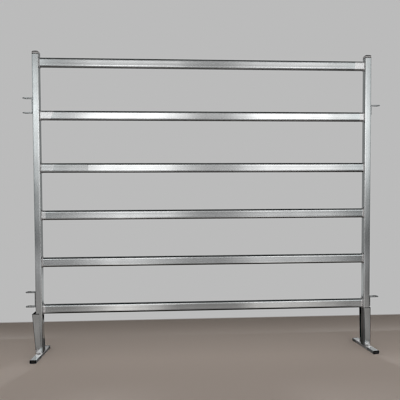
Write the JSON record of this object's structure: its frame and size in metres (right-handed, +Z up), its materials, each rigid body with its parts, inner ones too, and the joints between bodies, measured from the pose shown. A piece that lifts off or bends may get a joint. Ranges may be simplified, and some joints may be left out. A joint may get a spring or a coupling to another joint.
{
  "type": "cattle yard panel",
  "caption": "Free-standing galvanised steel livestock yard panel: square posts, flat-oval rails, channel legs on short foot tubes, and pin brackets on the sides.",
  "frame": {"origin": "on the floor, midway between the posts and midway through their depth", "axes": "+X along the rails towards the post with the single-plate lugs, +Y away from the viewer through the panel, +Z up"},
  "size_m": [2.2286, 0.2456, 1.8701],
  "materials": {
    "galvanised_steel": "dull hot-dip galvanised steel with faint streaks along the tubes",
    "zinc_weld": "weld beads under cold zinc paint",
    "black_plastic": "moulded black plastic",
    "grey_plastic": "moulded dark grey plastic, slight sheen"
  },
  "bodies": {
    "root": {"left_post": "galvanised_steel", "left_post_cap": "grey_plastic", "right_post": "galvanised_steel", "right_post_cap": "grey_plastic", "rail_1": "galvanised_steel", "left_rail_weld_1": "zinc_weld", "right_rail_weld_1": "zinc_weld", "rail_2": "galvanised_steel", "left_rail_weld_2": "zinc_weld", "right_rail_weld_2": "zinc_weld", "rail_3": "galvanised_steel", "left_rail_weld_3": "zinc_weld", "right_rail_weld_3": "zinc_weld", "rail_4": "galvanised_steel", "left_rail_weld_4": "zinc_weld", "right_rail_weld_4": "zinc_weld", "rail_5": "galvanised_steel", "left_rail_weld_5": "zinc_weld", "right_rail_weld_5": "zinc_weld", "rail_6": "galvanised_steel", "left_rail_weld_6": "zinc_weld", "right_rail_weld_6": "zinc_weld", "left_foot_tube": "galvanised_steel", "left_front_plug": "black_plastic", "left_rear_plug": "black_plastic", "left_leg_channel": "galvanised_steel", "left_front_leg_weld": "zinc_weld", "left_rear_leg_weld": "zinc_weld", "left_upper_bracket": "galvanised_steel", "left_upper_bracket_top_weld": "zinc_weld", "left_upper_bracket_base_weld": "zinc_weld", "left_lower_bracket": "galvanised_steel", "left_lower_bracket_top_weld": "zinc_weld", "left_lower_bracket_base_weld": "zinc_weld", "right_foot_tube": "galvanised_steel", "right_front_plug": "black_plastic", "right_rear_plug": "black_plastic", "right_leg_channel": "galvanised_steel", "right_front_leg_weld": "zinc_weld", "right_rear_leg_weld": "zinc_weld", "right_upper_bracket": "galvanised_steel", "right_upper_bracket_top_weld": "zinc_weld", "right_upper_bracket_base_weld": "zinc_weld", "right_lower_bracket": "galvanised_steel", "right_lower_bracket_top_weld": "zinc_weld", "right_lower_bracket_base_weld": "zinc_weld"}
  },
  "joints": []
}
